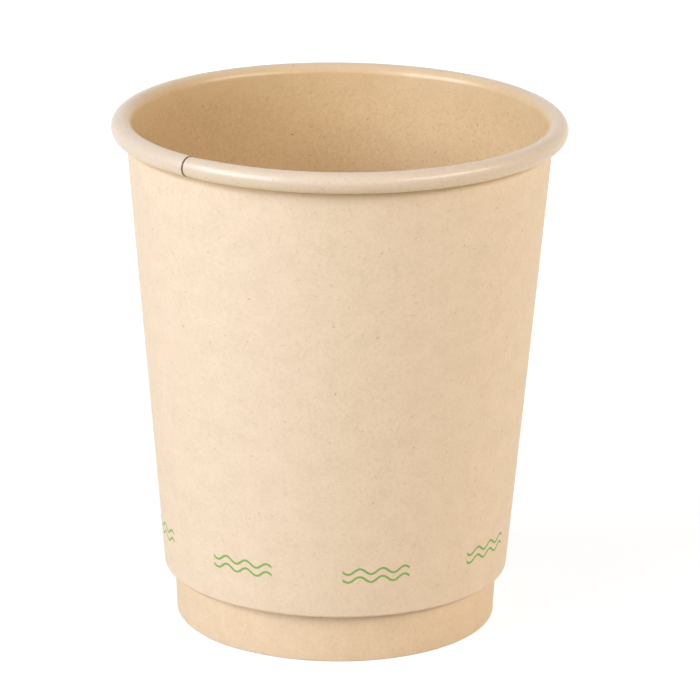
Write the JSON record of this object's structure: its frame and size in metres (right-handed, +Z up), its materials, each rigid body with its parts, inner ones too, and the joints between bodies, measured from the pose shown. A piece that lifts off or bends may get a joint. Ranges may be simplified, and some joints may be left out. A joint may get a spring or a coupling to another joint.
{
  "type": "double-wall paper cup",
  "caption": "Tapered double-wall paper cup with a rolled rim, a glued outer sleeve over an air gap and a recessed bottom, for hot drinks.",
  "frame": {"origin": "centre of the standing ring, on the surface that the cup stands on", "axes": "+Z up along the cup's axis, towards the rim; -Y towards the side that the picture shows"},
  "size_m": [0.08, 0.08, 0.0912],
  "materials": {
    "wall_paper": "unbleached paper with a satin barrier coating",
    "disc_paper": "unbleached paper with a satin barrier coating",
    "sleeve_paper": "uncoated unbleached paper with fine fibres",
    "glue": "set hot-melt glue"
  },
  "bodies": {
    "root": {"inner_wall": "wall_paper", "bottom_disc": "disc_paper", "outer_sleeve": "sleeve_paper", "sleeve_seam_glue": "glue", "upper_glue_dab_1": "glue", "upper_glue_dab_2": "glue", "upper_glue_dab_3": "glue", "upper_glue_dab_4": "glue", "upper_glue_dab_5": "glue", "upper_glue_dab_6": "glue", "lower_glue_dab_1": "glue", "lower_glue_dab_2": "glue", "lower_glue_dab_3": "glue", "lower_glue_dab_4": "glue", "lower_glue_dab_5": "glue", "lower_glue_dab_6": "glue"}
  },
  "joints": []
}
